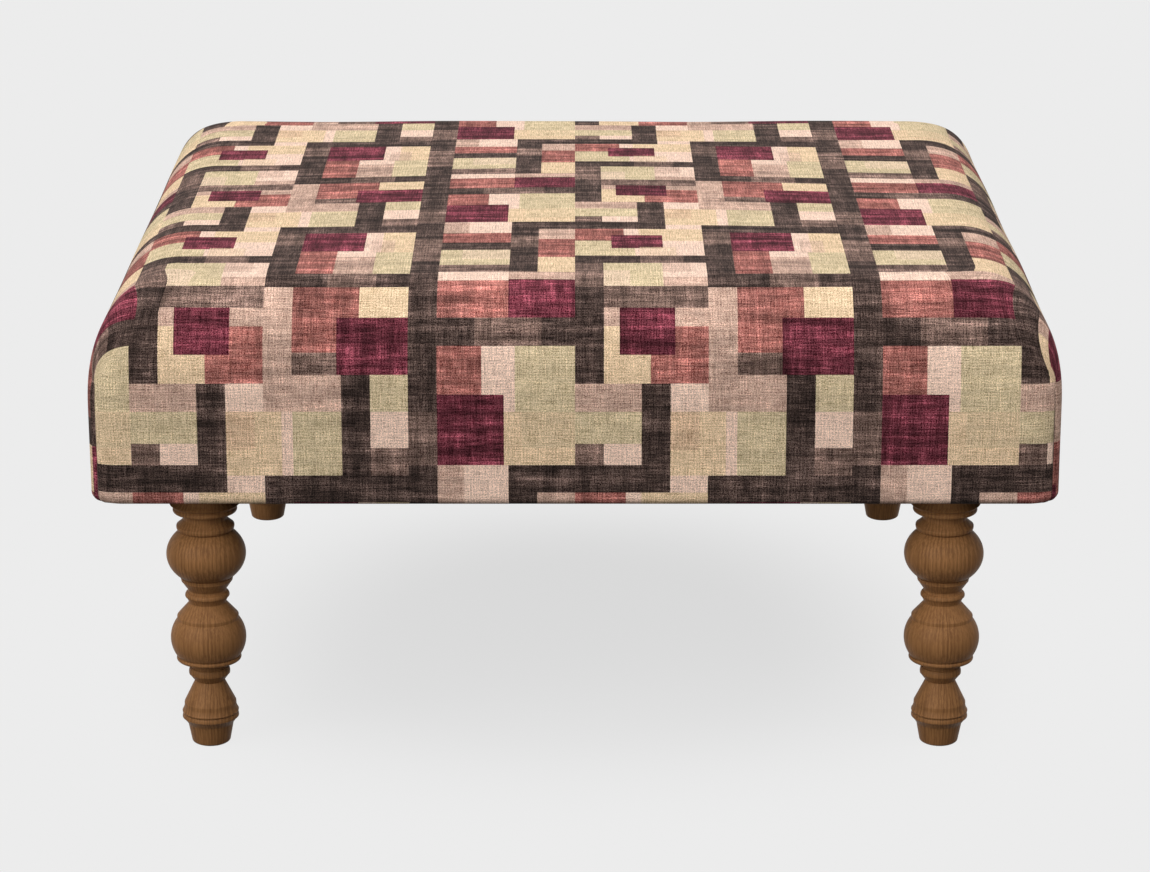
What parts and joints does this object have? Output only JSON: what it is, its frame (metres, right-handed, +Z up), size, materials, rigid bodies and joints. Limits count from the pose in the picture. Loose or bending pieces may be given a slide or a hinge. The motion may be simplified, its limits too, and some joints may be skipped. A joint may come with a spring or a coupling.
{
  "type": "upholstered footstool",
  "caption": "Low rectangular footstool with a padded, fabric-covered top and sides, rounded over at the edges, standing on turned wooden legs.",
  "frame": {"origin": "on the floor, under the middle of the stool", "axes": "+X along the width (the longer side), -Y is the front, +Z is up"},
  "size_m": [0.88, 0.8, 0.455],
  "materials": {
    "turned_wood": "satin",
    "block_wood": "matte",
    "frame_wood": "matte",
    "zinc_steel": "satin",
    "webbing": "matte",
    "black_cloth": "matte",
    "foam": "matte",
    "wadding": "matte",
    "printed_fabric": "matte"
  },
  "bodies": {
    "root": {"leg_front_left": "turned_wood", "hanger_bolt_front_left": "zinc_steel", "tee_nut_front_left": "zinc_steel", "corner_block_front_left": "block_wood", "leg_front_right": "turned_wood", "hanger_bolt_front_right": "zinc_steel", "tee_nut_front_right": "zinc_steel", "corner_block_front_right": "block_wood", "leg_back_left": "turned_wood", "hanger_bolt_back_left": "zinc_steel", "tee_nut_back_left": "zinc_steel", "corner_block_back_left": "block_wood", "leg_back_right": "turned_wood", "hanger_bolt_back_right": "zinc_steel", "tee_nut_back_right": "zinc_steel", "corner_block_back_right": "block_wood", "rail_front": "frame_wood", "rail_back": "frame_wood", "rail_left": "frame_wood", "rail_right": "frame_wood", "centre_stretcher": "frame_wood", "block_screw_front_left_rail": "zinc_steel", "block_screw_front_left_side": "zinc_steel", "block_screw_front_right_rail": "zinc_steel", "block_screw_front_right_side": "zinc_steel", "block_screw_back_left_rail": "zinc_steel", "block_screw_back_left_side": "zinc_steel", "block_screw_back_right_rail": "zinc_steel", "block_screw_back_right_side": "zinc_steel", "stretcher_screw_front": "zinc_steel", "stretcher_screw_back": "zinc_steel", "webbing_long_1": "webbing", "webbing_long_2": "webbing", "webbing_long_3": "webbing", "webbing_long_4": "webbing", "webbing_long_5": "webbing", "webbing_cross_1": "webbing", "webbing_cross_2": "webbing", "webbing_cross_3": "webbing", "webbing_cross_4": "webbing", "webbing_cross_5": "webbing", "webbing_cross_6": "webbing", "lining_cloth": "black_cloth", "seat_foam": "foam", "top_wadding": "wadding", "side_wadding_front": "wadding", "side_wadding_back": "wadding", "side_wadding_left": "wadding", "side_wadding_right": "wadding", "fabric_cover": "printed_fabric", "dust_cover": "black_cloth"}
  },
  "joints": []
}
